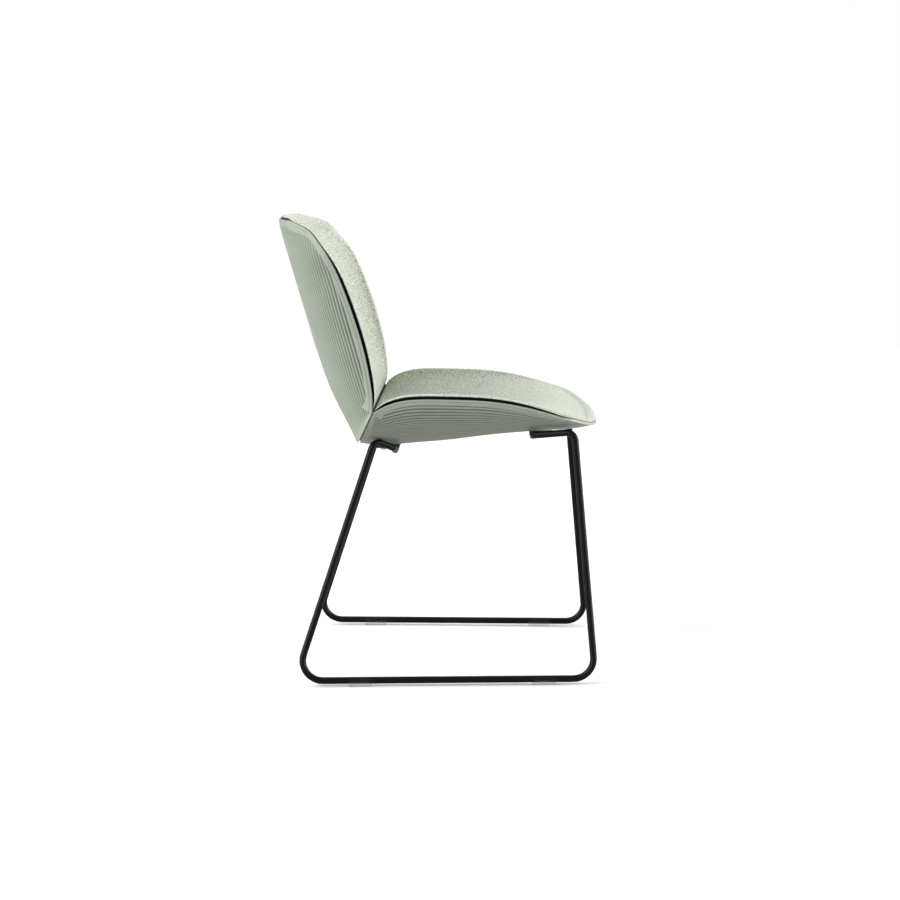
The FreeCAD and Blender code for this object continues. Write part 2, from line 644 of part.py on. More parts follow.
def build():
    seat = Leaf(SEAT_STATIONS)
    back = Leaf(BACK_STATIONS)
    tabs = tab_places(seat)
    nodes = {"seat_shell": seat_shell(seat, tabs), "back_shell": back_shell(back, seat)}
    for name, leaf, steps in (("seat", seat, SEAT_SCREW_STEPS), ("back", back, BACK_SCREW_STEPS)):
        carrier, foam, cover, screws = panel_stack(leaf, steps)
        nodes[name + "_carrier"] = carrier
        nodes[name + "_foam"] = foam
        nodes[name + "_cover"] = cover
        nodes[name + "_carrier_screws"] = screws
    for hand, side in (("right", -1), ("left", 1)):
        nodes["frame_rod_" + hand] = frame_rod(seat, side)
        nodes["glide_rear_" + hand] = runner_glide(GLIDE_REAR_X, side)
        nodes["glide_front_" + hand] = runner_glide(GLIDE_FRONT_X, side)
    for name, hole, bar_x, _ in tabs:
        nodes["mount_tab_" + name] = mount_tab(hole, bar_x)
    holes = [hole for _, hole, _, _ in tabs]
    nodes["mount_screws"] = Part.makeCompound([mount_screw(hole) for hole in holes])
    nodes["mount_washers"] = Part.makeCompound([mount_washer(hole) for hole in holes])
    nodes["mount_inserts"] = Part.makeCompound([mount_insert(hole) for hole in holes])
    centres = flange_bolt_centres(seat)
    nodes["joint_bolts"] = Part.makeCompound([flange_bolt(seat, centre) for centre in centres])
    nodes["joint_nuts"] = Part.makeCompound([flange_nut(seat, centre) for centre in centres])
    return nodes


def export(nodes):
    """Put the origin under the middle of the chair's length and write one STEP file per node."""
    os.makedirs("parts", exist_ok=True)
    box = Part.makeCompound(list(nodes.values())).optimalBoundingBox(False, False)
    shift = Vector(-box.Center.x, 0, 0)
    print("length %.1f width %.1f height %.1f shift %.2f" % (box.XLength, box.YLength, box.ZLength, shift.x))
    for name, shape in nodes.items():
        moved = shape.translated(shift)
        print(name, "valid" if moved.isValid() else "NOT VALID", len(moved.Solids), round(moved.Volume))
        moved.exportStep("parts/" + name + ".step")


if __name__ == "__main__":
    export(build())
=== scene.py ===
import math

import bmesh
import bpy
import numpy as np
from mathutils import Matrix, Vector


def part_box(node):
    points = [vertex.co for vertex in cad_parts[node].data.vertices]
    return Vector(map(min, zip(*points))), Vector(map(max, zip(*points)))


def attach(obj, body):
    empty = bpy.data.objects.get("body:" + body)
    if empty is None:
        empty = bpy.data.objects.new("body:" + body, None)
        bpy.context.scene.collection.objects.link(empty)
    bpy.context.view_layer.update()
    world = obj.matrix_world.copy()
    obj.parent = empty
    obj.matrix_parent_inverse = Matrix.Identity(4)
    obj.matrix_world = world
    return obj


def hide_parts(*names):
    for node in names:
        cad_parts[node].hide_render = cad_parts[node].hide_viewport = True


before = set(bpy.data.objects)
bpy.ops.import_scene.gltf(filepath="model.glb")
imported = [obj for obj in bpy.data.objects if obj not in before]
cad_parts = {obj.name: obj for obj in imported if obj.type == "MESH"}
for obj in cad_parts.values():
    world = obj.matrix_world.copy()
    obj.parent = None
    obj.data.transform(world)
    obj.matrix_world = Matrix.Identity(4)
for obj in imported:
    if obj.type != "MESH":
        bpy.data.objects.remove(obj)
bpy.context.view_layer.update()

# Sled frame. Each side is one round steel rod, bent to a runner, two legs and half of both cross bars, with
# flat tabs welded to the bars for the seat. All of it has black powder coat with a fine orange peel.

HANDS = ("right", "left")
ENDS = ("rear", "front")


class Finish:
    """A principled material in the making. Its patterns are noise on object coordinates, per metre."""

    def __init__(self, name, base, roughness, metallic=0.0, **sockets):
        self.material = bpy.data.materials.new(name)
        self.material.use_nodes = True
        self.tree = self.material.node_tree
        self.shader = self.tree.nodes["Principled BSDF"]
        self.shader.inputs["Base Color"].default_value = (*base, 1.0)
        self.shader.inputs["Roughness"].default_value = roughness
        self.shader.inputs["Metallic"].default_value = metallic
        for socket, value in sockets.items():
            self.shader.inputs[socket.replace("_", " ")].default_value = value

    def node(self, kind, **settings):
        """New node. A setting named like a socket goes to the socket, and any other to the node itself."""
        made = self.tree.nodes.new(kind)
        for key, value in settings.items():
            if key in made.inputs:
                made.inputs[key].default_value = value
            else:
                setattr(made, key, value)
        return made

    def link(self, source, target):
        self.tree.links.new(source, target)

    def noise(self, scale, detail, turn=None, stretch=None):
        """Noise whose coordinates may be turned and stretched, which draws it out to flecks."""
        where = self.node("ShaderNodeTexCoord").outputs["Object"]
        made = self.node("ShaderNodeTexNoise", Scale=scale, Detail=detail, Roughness=0.62)
        if turn is not None:
            mapping = self.node("ShaderNodeMapping", Rotation=turn, Scale=stretch)
            self.link(where, mapping.inputs["Vector"])
            where = mapping.outputs["Vector"]
        self.link(where, made.inputs["Vector"])
        return made.outputs["Fac"]

    def roughness(self, factor, low, high):
        """Roughness that follows a factor from low to high."""
        spread = self.node("ShaderNodeMapRange")
        spread.inputs["To Min"].default_value = low
        spread.inputs["To Max"].default_value = high
        self.link(factor, spread.inputs["Value"])
        self.link(spread.outputs["Result"], self.shader.inputs["Roughness"])

    def bump(self, height, strength, distance):
        """Fine relief that follows a height, at most distance metres deep."""
        made = self.node("ShaderNodeBump", Strength=strength, Distance=distance)
        self.link(height, made.inputs["Height"])
        self.link(made.outputs["Normal"], self.shader.inputs["Normal"])

    def colour(self, factor, *stops):
        """Base colour that follows a factor through (place, colour) stops; returns the colour's socket."""
        ramp = self.node("ShaderNodeValToRGB")
        points = ramp.color_ramp.elements
        for point, (place, colour) in zip((points[0], points[1]), (stops[0], stops[-1])):
            point.position = place
            point.color = (*colour, 1)
        for place, colour in stops[1:-1]:
            points.new(place).color = (*colour, 1)
        self.link(factor, ramp.inputs["Fac"])
        self.link(ramp.outputs["Color"], self.shader.inputs["Base Color"])
        return ramp.outputs["Color"]


def dress(material, *names):
    """Puts a finish on solids that keep their own mesh, through the material slots of their objects."""
    for name in names:
        for material_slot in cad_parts[name].material_slots:
            material_slot.link = "OBJECT"
            material_slot.material = material


powder_coat = Finish("frame_black", (0.0022, 0.0022, 0.0024), 0.42, Specular_IOR_Level=0.2)
peel = powder_coat.noise(scale=1100.0, detail=2.0)
powder_coat.roughness(peel, low=0.34, high=0.48)
powder_coat.bump(peel, strength=0.3, distance=0.00012)
dress(powder_coat.material, *("frame_rod_" + hand for hand in HANDS))
dress(powder_coat.material, *("mount_tab_%s_%s" % (end, hand) for end in ENDS for hand in HANDS))

# Glides. Four clear polycarbonate blocks clip round the runners and keep the steel off the floor. They are
# thin and a little scuffed, so they show as a pale veil.

clear_plastic = Finish("glide_clear", (0.88, 0.90, 0.89), 0.2, Alpha=0.30, IOR=1.49, Transmission_Weight=1.0)
clear_plastic.roughness(clear_plastic.noise(scale=240.0, detail=4.0), low=0.08, high=0.35)
dress(clear_plastic.material, *("glide_%s_%s" % (end, hand) for end in ENDS for hand in HANDS))

# Seat shell and back shell. Two mouldings of sage green plastic with a matt grain make the bucket. Outside
# they have fine ribs, beside the rim on the seat and beside the spine on the back, which fade out towards
# the spine, the joint and the tip inside a smooth, slightly sunk border.

# Shapes are worked out in millimetres and made in metres. The solids stand this far behind the tables.
MM = 0.001
CAD_SHIFT = -1.84

# Each shell carries half-ellipse sections along a keel. Columns: keel x, keel z, rim x, half width, rim z,
# degrees turned at the rim, depth of the pad at the keel.
SEAT_STATIONS = np.array((
    (-139.6, 398.4, -104.6, 230.0, 473.4, 86.0, 42.0),
    (-108.0, 394.0, -91.0, 230.0, 482.5, 86.0, 44.0),
    (-50.0, 396.5, -50.0, 230.0, 495.5, 86.0, 46.0),
    (20.0, 402.5, 20.0, 230.0, 497.0, 86.0, 46.0),
    (90.0, 411.5, 90.0, 230.0, 494.0, 86.0, 45.0),
    (150.0, 418.0, 150.0, 230.0, 484.5, 84.0, 43.0),
    (205.0, 423.0, 205.0, 229.5, 468.5, 76.0, 38.0),
    (228.0, 425.0, 228.0, 227.5, 461.5, 69.0, 33.0),
    (243.0, 426.5, 243.0, 218.0, 457.5, 62.0, 29.0),
    (256.0, 428.5, 256.0, 199.0, 452.0, 55.0, 25.0),
    (266.0, 430.5, 266.0, 178.0, 447.8, 49.0, 21.0),
    (275.0, 433.0, 275.0, 151.0, 444.2, 43.0, 17.5),
    (281.0, 435.2, 281.0, 129.0, 441.9, 38.0, 15.2),
    (286.0, 437.5, 286.0, 100.0, 439.9, 33.0, 13.5),
))
BACK_STATIONS = np.array((
    (-143.7, 396.85, -107.4, 230.0, 474.6, 86.0, 42.0),
    (-162.0, 434.0, -106.5, 230.0, 497.0, 86.0, 44.0),
    (-186.5, 482.0, -111.0, 230.0, 536.0, 86.0, 44.0),
    (-210.0, 544.0, -122.5, 230.0, 590.0, 86.0, 42.0),
    (-234.5, 626.0, -144.0, 230.0, 659.0, 84.0, 39.0),
    (-257.0, 704.0, -168.5, 229.0, 720.0, 78.0, 34.0),
    (-270.0, 749.0, -187.0, 225.0, 752.0, 70.0, 28.0),
    (-277.5, 775.0, -204.5, 210.5, 775.0, 60.0, 22.0),
    (-281.2, 791.0, -224.0, 188.0, 792.5, 52.0, 16.5),
    (-282.3, 801.0, -244.0, 154.0, 801.0, 46.0, 15.0),
    (-282.4, 806.0, -253.0, 129.0, 806.0, 42.0, 13.7),
))
WALL = 4.5
RIB_PITCH = 7.2
RIB_DEPTH = 2.2
GROOVE_SHARPNESS = 1.5
BORDER = 9.0
BORDER_SINK = 0.7
BORDER_STEP = 1.0
RIB_RUN_IN = 2.5
FIRST_GROOVE = 2.0

# Ribs are absent up to the first and full from the second distance from the spine, the joint and the tip.
SEAT_FADES = ((36.0, 120.0), (7.0, 24.0), (14.0, 90.0))
BACK_FADES = ((30.0, 110.0), (7.0, 24.0), (9.0, 20.0))

# Rows of points crowd at the joint and round the corner of the tip, and columns crowd over the ribs.
JOINT_ROWS = (0.0, 0.8, 2.4, 5.0, 8.5)
NEXT_ROW = 12.0
ROW_CROWDING = 1.3
CORNER_ROWS = 14
SHELL_ROWS = 80
RIB_COLUMNS = 208
SPINE_COLUMNS = 9
SPINE_SHARE = 0.12
ARC_POINTS = 160

# Surface slopes are taken over these differences in step and in share.
STEP_TICK = 0.5
SHARE_TICK = 0.002

# Away from the sitter is down the rise, and this much of the rise's length out to the side.
SIDE_LEAN = 0.9

# Points closer than this are one, and edges shorter than this are none, both in metres.
WELD = 0.02 * MM
SLIVER = 1e-7
Y_AXIS = np.array((0.0, 1.0, 0.0))


def natural_spline(ticks, values):
    """Natural cubic spline through the rows of values; returns a function of an array of places."""
    count = len(ticks)
    gap = np.diff(ticks)
    slope = np.diff(values, axis=0) / gap[:, None]
    system = np.eye(count)
    right = np.zeros_like(values)
    for i in range(1, count - 1):
        system[i, i - 1:i + 2] = gap[i - 1], 2 * (gap[i - 1] + gap[i]), gap[i]
        right[i] = 6 * (slope[i] - slope[i - 1])
    bend = np.linalg.solve(system, right)

    def at(places):
        places = np.asarray(places, float)
        i = np.clip(np.searchsorted(ticks, places, side="right") - 1, 0, count - 2)
        a = (places - ticks[i])[..., None]
        h = gap[i][..., None]
        cubic = (bend[i + 1] - bend[i]) / (6 * h)
        linear = slope[i] - h * (2 * bend[i] + bend[i + 1]) / 6
        return values[i] + a * (linear + a * (bend[i] / 2 + a * cubic))

    return at


def unit(vectors):
    """Each vector divided by its length."""
    return vectors / np.linalg.norm(vectors, axis=-1, keepdims=True)


def smoothstep(low, high, value):
    """0 up to low, 1 from high, and x * x * (3 - 2 x) between them."""
    x = np.clip((value - low) / (high - low), 0, 1)
    return x * x * (3 - 2 * x)


class Leaf:
    """One half of the bucket. A step is a length along the keel from the joint, and a share runs from 0 at
    the keel to 1 or -1 at the rims; every method takes whole arrays of both."""

    def __init__(self, stations, corner_radius, corner_drop, tip_setback):
        lengths = np.hypot(*np.diff(stations[:, :2], axis=0).T)
        self.ticks = np.concatenate(((0.0,), np.cumsum(lengths)))
        self.length = self.ticks[-1]
        self.shell_end = self.length - tip_setback
        self.at = natural_spline(self.ticks, stations)
        self.corner_radius = corner_radius
        self.corner_drop = corner_drop

    def cap(self, step, last):
        """Share of the rim: 1, less drop * (1 - sqrt(1 - t^2)) where the tip's corner is rounded."""
        t = np.clip((step - last + self.corner_radius) / self.corner_radius, 0, 1)
        return 1 - self.corner_drop * (1 - np.sqrt(1 - t * t))

    def side_steps(self, last, count):
        """Steps from the joint to the tip, closer together at both ends."""
        bend = last - self.corner_radius
        middle = NEXT_ROW + (bend - NEXT_ROW) * (1 - (1 - np.linspace(0, 1, count)) ** ROW_CROWDING)
        corner = bend + self.corner_radius * np.sin(np.linspace(0, np.pi / 2, CORNER_ROWS))[1:]
        return np.concatenate((JOINT_ROWS, middle, corner))

    def section(self, step):
        """Keel point, rise direction, half width, rim height, turn and pad depth at each step."""
        row = self.at(step)
        zero = np.zeros_like(row[..., 0])
        keel = np.stack((row[..., 0] + CAD_SHIFT, zero, row[..., 1]), -1)
        across = np.stack((row[..., 2] - row[..., 0], zero, row[..., 4] - row[..., 1]), -1)
        height = np.linalg.norm(across, axis=-1)
        return keel, across / height[..., None], row[..., 3], height, np.radians(row[..., 5]), row[..., 6]

    def outer(self, step, share, distance=0.0):
        """keel + rise * H(1 - cos a)/(1 - cos t) + Y * W sin a/sin t, a = share * t, then in by distance."""
        step, share = np.broadcast_arrays(step, share)
        keel, rise, half, height, turn, _ = self.section(step)
        angle = turn * share
        y = half * np.sin(angle) / np.sin(turn)
        up = height * (1 - np.cos(angle)) / (1 - np.cos(turn))
        y_slope = half * np.cos(angle) / np.sin(turn)
        up_slope = height * np.sin(angle) / (1 - np.cos(turn))
        size = np.hypot(y_slope, up_slope)
        y = y - distance * up_slope / size
        up = up + distance * y_slope / size
        return keel + rise * up[..., None] + Y_AXIS * y[..., None]

    def frame_at(self, step, share):
        """Slopes of the surface along step and share, and their cross product turned away from the sitter."""
        along = self.outer(step + STEP_TICK, share) - self.outer(step - STEP_TICK, share)
        across = self.outer(step, share + SHARE_TICK) - self.outer(step, share - SHARE_TICK)
        across = across / (2 * SHARE_TICK)
        normal = unit(np.cross(along, across))
        _, rise, *_ = self.section(step)
        away = Y_AXIS * (np.sign(share) * SIDE_LEAN)[..., None] - rise
        return along, across, normal * np.sign((normal * away).sum(-1))[..., None]

    def arcs(self, step, share, last):
        """Length along each section from the keel to each share, and from there to the rim."""
        fine = np.linspace(0, 1, ARC_POINTS)
        points = self.outer(step[:, :1], fine[None, :])
        runs = np.linalg.norm(np.diff(points, axis=1), axis=-1)
        total = np.concatenate((np.zeros((len(step), 1)), np.cumsum(runs, 1)), 1)
        from_keel = np.stack([np.interp(row, fine, sums) for row, sums in zip(np.abs(share), total)])
        rims = self.cap(step[:, 0], last)
        whole = np.array([np.interp(rim, fine, sums) for rim, sums in zip(rims, total)])
        return from_keel, whole[:, None] - from_keel


SEAT = Leaf(SEAT_STATIONS, corner_radius=30.0, corner_drop=0.30, tip_setback=1.0)
BACK = Leaf(BACK_STATIONS, corner_radius=26.0, corner_drop=0.20, tip_setback=5.0)


def quads(rows, columns, start):
    """Faces (a, a + 1, a + columns + 1, a + columns) of a grid of vertices counted row by row from start."""
    i, j = np.meshgrid(np.arange(rows - 1), np.arange(columns - 1), indexing="ij")
    a = (start + i * columns + j).ravel()
    return np.stack((a, a + 1, a + columns + 1, a + columns), -1)


def grids_object(name, grids, materials, sharp, groove=None):
    """One welded mesh from (grid of points in millimetres, material number) pairs, riding on root.
    Edges sharper than sharp degrees stay sharp. groove holds a value for each point of the first grid, kept
    as a mesh attribute that sets painted shade in the grooves."""
    faces, numbers, start = [], [], 0
    for grid, number in grids:
        rows, columns = grid.shape[:2]
        made = quads(rows, columns, start)
        faces.append(made)
        numbers.append(np.full(len(made), number))
        start += rows * columns
    points = np.concatenate([grid.reshape(-1, 3) for grid, _ in grids]) * MM
    mesh = bpy.data.meshes.new(name)
    mesh.from_pydata(points.tolist(), [], np.concatenate(faces).tolist())
    for material in materials:
        mesh.materials.append(material)
    mesh.polygons.foreach_set("material_index", np.concatenate(numbers).tolist())
    if groove is not None:
        depth = np.zeros(len(points))
        depth[:groove.size] = groove.ravel()
        mesh.attributes.new("groove", "FLOAT", "POINT").data.foreach_set("value", depth.tolist())
    bm = bmesh.new()
    bm.from_mesh(mesh)
    bmesh.ops.remove_doubles(bm, verts=bm.verts, dist=WELD)
    bmesh.ops.dissolve_degenerate(bm, edges=bm.edges, dist=SLIVER)
    bmesh.ops.recalc_face_normals(bm, faces=bm.faces)
    bm.to_mesh(mesh)
    bm.free()
    mesh.polygons.foreach_set("use_smooth", [True] * len(mesh.polygons))
    mesh.set_sharp_from_angle(angle=math.radians(sharp))
    piece = bpy.data.objects.new(name, mesh)
    bpy.context.scene.collection.objects.link(piece)
    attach(piece, "root")
    return piece


def moulded_plastic(name, light, dark, rough, grain_strength):
    """Plastic with a slow drift between two tones and a fine matt grain, with painted shade that darkens its
    grooves. The mesh attribute named groove runs from 0 on the surface to 1 at the bottom of a groove, and
    sets how much painted shade falls there."""
    plastic = Finish(name, dark, rough[0])
    tone = plastic.colour(plastic.noise(scale=14.0, detail=2.0), (0.3, dark), (0.7, light))
    groove = plastic.node("ShaderNodeAttribute", attribute_name="groove")
    # Painted shade: where the groove attribute is high, the colour is multiplied by a darker grey-green that
    # stands in for shade in the rib grooves.
    groove_shade = plastic.node("ShaderNodeMix", data_type="RGBA", blend_type="MULTIPLY")
    factor = next(s for s in groove_shade.inputs if s.name == "Factor" and s.type == "VALUE")
    toned, groove_shade_colour = (next(s for s in groove_shade.inputs if s.name == side and s.type == "RGBA") for side in "AB")
    groove_shade_colour.default_value = (0.42, 0.45, 0.42, 1)
    plastic.link(groove.outputs["Fac"], factor)
    plastic.link(tone, toned)
    groove_shaded = next(s for s in groove_shade.outputs if s.type == "RGBA")
    plastic.link(groove_shaded, plastic.shader.inputs["Base Color"])
    grain = plastic.noise(scale=1600.0, detail=2.0)
    plastic.roughness(grain, low=rough[0], high=rough[1])
    plastic.bump(grain, strength=grain_strength, distance=0.0001)
    return plastic.material


def rib_relief(leaf, step, share, beside_rim, fades):
    """Groove (0.5 + 0.5 cos(2 pi q / pitch))^sharpness of the arc q beside which the ribs run, faded on
    every side, and the sink of the border in millimetres."""
    from_keel, from_rim = leaf.arcs(step, share, leaf.shell_end)
    from_tip = leaf.shell_end - step
    run = from_rim - BORDER - FIRST_GROOVE if beside_rim else from_keel
    wave = (0.5 + 0.5 * np.cos(2 * np.pi * run / RIB_PITCH)) ** GROOVE_SHARPNESS
    strength = smoothstep(BORDER - BORDER_STEP, BORDER + RIB_RUN_IN, from_rim)
    for (absent, full), distance in zip(fades, (from_keel, step, from_tip)):
        strength = strength * smoothstep(absent, full, distance)
    inside = smoothstep(BORDER - RIB_RUN_IN, BORDER - BORDER_STEP, np.minimum(from_rim, from_tip))
    return wave * strength, BORDER_SINK * (1 - inside)


def shell_grids(leaf, beside_rim, fades):
    """Outer face of the leaf, in by depth * groove + sink along its normal, plain inner face one wall
    further in, and the walls between their four edges; also the groove of each outer point."""
    steps = leaf.side_steps(leaf.shell_end, SHELL_ROWS)
    ribbed = 1 - np.linspace(0, 1, RIB_COLUMNS) * (1 - SPINE_SHARE)
    half = np.concatenate((ribbed, np.linspace(SPINE_SHARE, 0, SPINE_COLUMNS)[1:]))
    shares = np.concatenate((half, -half[-2::-1]))
    step, share = np.meshgrid(steps, shares, indexing="ij")
    share = share * leaf.cap(step, leaf.shell_end)
    _, _, normal = leaf.frame_at(step, share)
    groove, sink = rib_relief(leaf, step, share, beside_rim, fades)
    outer = leaf.outer(step, share) - normal * (RIB_DEPTH * groove + sink)[..., None]
    inner = leaf.outer(step, share, WALL)
    walls = [np.stack((outer[0], inner[0])), np.stack((outer[-1], inner[-1])),
             np.stack((outer[:, 0], inner[:, 0])), np.stack((outer[:, -1], inner[:, -1]))]
    return [(grid, 0) for grid in [outer, inner] + walls], groove


SHELL_PLASTIC = moulded_plastic(
    "shell_green", light=(0.372, 0.415, 0.345), dark=(0.345, 0.385, 0.318), rough=(0.40, 0.56),
    grain_strength=0.25)
for node_name, leaf, beside_rim, fades in (
        ("seat_shell", SEAT, True, SEAT_FADES), ("back_shell", BACK, False, BACK_FADES)):
    grids, groove = shell_grids(leaf, beside_rim, fades)
    # The groove depth of each outer point also goes to the material, which paints shade into the grooves.
    skin = grids_object(node_name + "_skin", grids, [SHELL_PLASTIC], 60.0, groove)
    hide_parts(node_name)

# Lips. A rounded bead is moulded in one with the rim of each shell, from the same green plastic, and closes
# its edge. A fine groove divides it from the border of the ribbed field.

# Points of the bead: distance in from the rim along the shell, and distance outwards from its face.
LIP_PROFILE = (
    (11.0, -1.6), (10.4, -0.5), (9.6, -0.05), (8.4, 0.0), (7.0, 0.0), (5.8, 0.0), (5.2, -0.1),
    (4.8, -0.5), (4.5, -1.1), (4.1, -1.5), (3.6, -1.5), (3.2, -1.1), (2.95, -0.4), (2.7, 0.05),
    (2.2, 0.25), (1.5, 0.28), (0.9, 0.15), (0.4, -0.15), (0.1, -0.6), (0.0, -1.2), (0.0, -3.2),
    (0.15, -3.9), (0.5, -4.4), (1.0, -4.6), (3.0, -4.62), (8.0, -4.62), (11.0, -4.4), (11.4, -3.0),
    (11.0, -1.6),
)
LIP_SIDE_POINTS = 130
LIP_TIP_POINTS = 70


def rim_path(leaf, last, side_count, tip_count):
    """Steps and shares along the left side, across the tip and back along the right side."""
    side = leaf.side_steps(last, side_count)
    rim = leaf.cap(side, last)
    tip = np.linspace(rim[-1], -rim[-1], tip_count + 2)[1:-1]
    step = np.concatenate((side, np.full(tip_count, last), side[::-1]))
    share = np.concatenate((rim, tip, -rim[::-1]))
    return len(side), step, share


def path_tangent(points):
    """Unit direction along a run of points, smoothed three times by (before + 2 here + after)."""
    tangent = unit(np.gradient(points, axis=0))
    for _ in range(3):
        tangent[1:-1] = tangent[:-2] + 2 * tangent[1:-1] + tangent[2:]
        tangent = unit(tangent)
    return tangent


def end_caps(band):
    """Two fans that close a band: its first and last ring, each led to the mean of its points."""
    return [np.stack((ring, np.repeat(ring[:-1].mean(0)[None], len(ring), 0)))
            for ring in (band[0], band[-1])]


def lip_grids(leaf):
    """Band round the rim: surface at the rim's place moved by d inwards along the shell, + n * normal, for
    each profile point (d, n). The move is d times the rates of step and share, which solve
    along * step rate + across * share rate = the unit vector inwards."""
    _, step, share = rim_path(leaf, leaf.shell_end, LIP_SIDE_POINTS, LIP_TIP_POINTS)
    points = leaf.outer(step, share)
    along, across, normal = leaf.frame_at(step, share)
    into = unit(np.cross(path_tangent(points), normal))
    into *= np.sign((into * (points.mean(0) - points)).sum(-1))[:, None]
    aa, bb, ab = (along ** 2).sum(-1), (across ** 2).sum(-1), (along * across).sum(-1)
    da, db = (into * along).sum(-1), (into * across).sum(-1)
    scale = aa * bb - ab ** 2
    step_rate, share_rate = (da * bb - db * ab) / scale, (db * aa - da * ab) / scale
    rings = []
    for d, n in LIP_PROFILE:
        place = np.clip(step + d * step_rate, 0, leaf.shell_end), share + d * share_rate
        rings.append(leaf.outer(*place) + leaf.frame_at(*place)[2] * n)
    band = np.stack(rings, 1)
    return [(grid, 0) for grid in [band] + end_caps(band)]


for node_name, leaf in (("seat_shell", SEAT), ("back_shell", BACK)):
    grids_object(node_name + "_lip", lip_grids(leaf), [SHELL_PLASTIC], 50.0)

# Joint of the two shells. A tongue of the same plastic closes the groove between them at the depth of their
# wall, and zinc plated bolts with nuts hold the flanges together inside the bucket.

TONGUE_REACH = 0.995
TONGUE_POINTS = 121
TONGUE_STEP = 1.0
TONGUE_FACE = 4.2
TONGUE_BACK = 6.6


def plated_metal(name, base, polish):
    """Plated or turned metal whose roughness varies a little about its polish."""
    metal = Finish(name, base, polish, metallic=1.0)
    metal.roughness(metal.noise(scale=700.0, detail=3.0), low=polish - 0.08, high=polish + 0.1)
    return metal.material


def tongue_grids():
    """Band from rim to rim whose ring has four corners, each a depth inside the end of a leaf."""
    share = np.linspace(-TONGUE_REACH, TONGUE_REACH, TONGUE_POINTS)
    step = np.full(len(share), TONGUE_STEP)
    corners = ((SEAT, TONGUE_FACE), (SEAT, TONGUE_BACK), (BACK, TONGUE_BACK), (BACK, TONGUE_FACE),
               (SEAT, TONGUE_FACE))
    band = np.stack([leaf.outer(step, share, depth) for leaf, depth in corners], 1)
    return [(grid, 0) for grid in [band] + end_caps(band)]


grids_object("joint_tongue", tongue_grids(), [SHELL_PLASTIC], 30.0)
ZINC = plated_metal("zinc_steel", (0.62, 0.62, 0.60), 0.32)
dress(ZINC, "joint_bolts", "joint_nuts")

# Mounting towers. Four stubs moulded under the seat shell stand on the tabs of the frame, round the inserts.
# They taper a little, so that they leave the mould, and their lower edge is rounded.

TOWER_RADIUS = 11.0
TOWER_TAPER = 0.4
TOWER_HEIGHT = 8.2
TOWER_EDGE = 0.5
TOWER_SIDES = 64
TAB_END_TO_HOLE = 15.0


def tower_grid(centre):
    """centre + r (cos a, sin a, 0) + h (0, 0, 1) for a profile of radii r and heights h: the foot, a
    quarter circle round the lower edge, the tapered side and the top."""
    foot = TOWER_RADIUS - TOWER_TAPER
    bend = np.linspace(0, np.pi / 2, 4)
    radius = np.concatenate(((0.0,), foot - TOWER_EDGE * (1 - np.sin(bend)), (TOWER_RADIUS, 0.0)))
    height = np.concatenate(((0.0,), TOWER_EDGE * (1 - np.cos(bend)), (TOWER_HEIGHT, TOWER_HEIGHT)))
    angle = np.linspace(0, 2 * np.pi, TOWER_SIDES + 1)
    flat = radius[:, None, None] * np.stack((np.cos(angle), np.sin(angle), np.zeros_like(angle)), -1)
    return centre + flat + height[:, None, None] * np.array((0.0, 0.0, 1.0))


for end, ahead in zip(ENDS, (-1, 1)):
    for hand in HANDS:
        low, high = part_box("mount_tab_%s_%s" % (end, hand))
        tab_end = high[0] if ahead > 0 else low[0]
        middle = (low[1] + high[1]) / 2
        centre = np.array((tab_end / MM - ahead * TAB_END_TO_HOLE, middle / MM, high[2] / MM))
        name = "seat_tower_%s_%s" % (end, hand)
        grids_object(name, [(tower_grid(centre), 0)], [SHELL_PLASTIC], 35.0)

# Seat fasteners. Zinc plated screws with washers pass up through the tabs into brass inserts that are set
# in the towers. They keep their solids.

dress(ZINC, "mount_screws", "mount_washers")
dress(plated_metal("insert_brass", (0.78, 0.60, 0.30), 0.3), "mount_inserts")

# Panels. Each pad is upholstered on a black moulded panel, which four zinc plated screws hold to bosses
# inside the shell. They are hidden once the chair is together, and keep their solids.

PANEL_PLASTIC = moulded_plastic(
    "panel_plastic", light=(0.030, 0.031, 0.030), dark=(0.022, 0.023, 0.022), rough=(0.6, 0.8),
    grain_strength=0.3)
dress(PANEL_PLASTIC, "seat_carrier", "back_carrier")
dress(ZINC, "seat_carrier_screws", "back_carrier_screws")

# Seat pad and back pad. Foam is covered with taut melange wool felt in pale sage, without a fold or a seam.
# Each pad is a crowned bowl with a rolled edge that floats above the shell's lip over a black backing. The
# band of the pad inside the gap under the roll takes the black backing plastic, partly as the real backing
# and partly as painted shade for that gap. Its tip is a rounded nose, and its other end swells to meet the
# other pad.

# Rings of the edge, as (along the body, at the tip): b lies in from the rim, and h up along the rise.
SEAT_STYLE = {
    "edge_b": (1.0, 0.6), "edge_h": (6.4, 5.4), "crest_b": (9.0, 9.5), "crest_h": (9.2, 11.0),
    "inner_b": (17.0, 18.0), "inner_h": (5.8, 10.4), "tuck_b": (15.0, 12.0), "tuck_h": (-1.0, 3.2),
}
BACK_STYLE = {
    "edge_b": (1.0, 0.6), "edge_h": (6.4, 4.2), "crest_b": (9.0, 9.0), "crest_h": (9.2, 6.6),
    "inner_b": (17.0, 17.5), "inner_h": (5.8, 5.8), "tuck_b": (15.0, 12.0), "tuck_h": (-1.0, 2.4),
}
PAD_SIDE_POINTS = 70
PAD_TIP_POINTS = 31
TUCK_RINGS = 5
TUCK_BELLY = 0.7
EDGE_RINGS = 10
CREST_RINGS = 8
JOINT_RINGS = 9
NOSE_START = 150.0
NOSE_END = 30.0
TIP_LEAD = 70.0
TIP_EASE = 1.5
CROWN_SHARE = 0.18
BACKING_SHARE = 0.36
EDGE_THICKNESS = 18.0
JOINT_ROUND = 8.0
JOINT_SWELL = 1.25
RIM_BLEND = 0.2
IN_PLANE = np.array((1.0, 0.0, 1.0))


